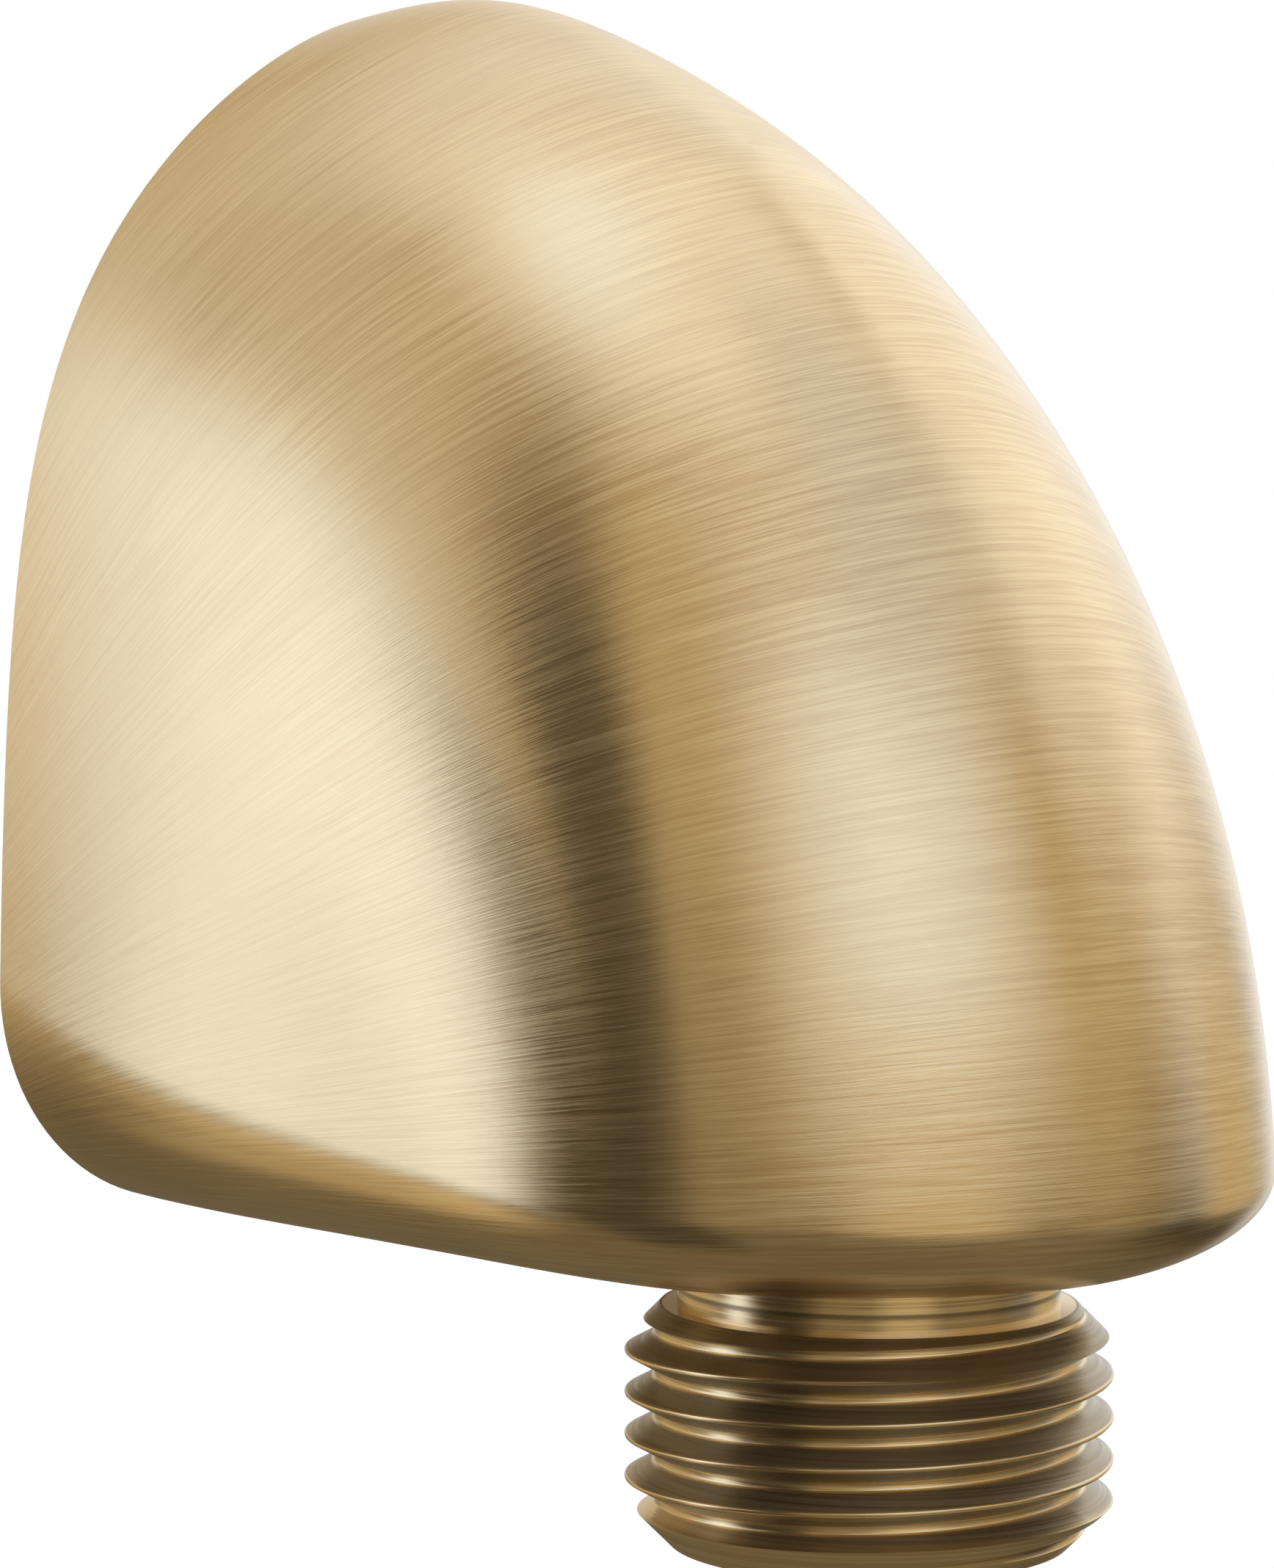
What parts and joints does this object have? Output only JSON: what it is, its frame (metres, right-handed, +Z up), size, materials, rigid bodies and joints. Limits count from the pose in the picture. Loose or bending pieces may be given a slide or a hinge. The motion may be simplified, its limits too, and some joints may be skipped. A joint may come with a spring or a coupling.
{
  "type": "wall outlet elbow",
  "caption": "Domed wall outlet elbow: a hollow-backed cast body over a tapped wall inlet, with a threaded hose outlet pointing down under its nose.",
  "frame": {"origin": "Where the inlet axis meets the wall plane.", "axes": "The wall plane is Y = 0 and the nose points towards -Y; +Z is up; X = 0 is the plane of symmetry."},
  "size_m": [0.0458, 0.0499, 0.0673],
  "materials": {
    "brushed_gold": "satin, finely brushed champagne gold"
  },
  "bodies": {
    "root": {"elbow_body": "brushed_gold"}
  },
  "joints": []
}
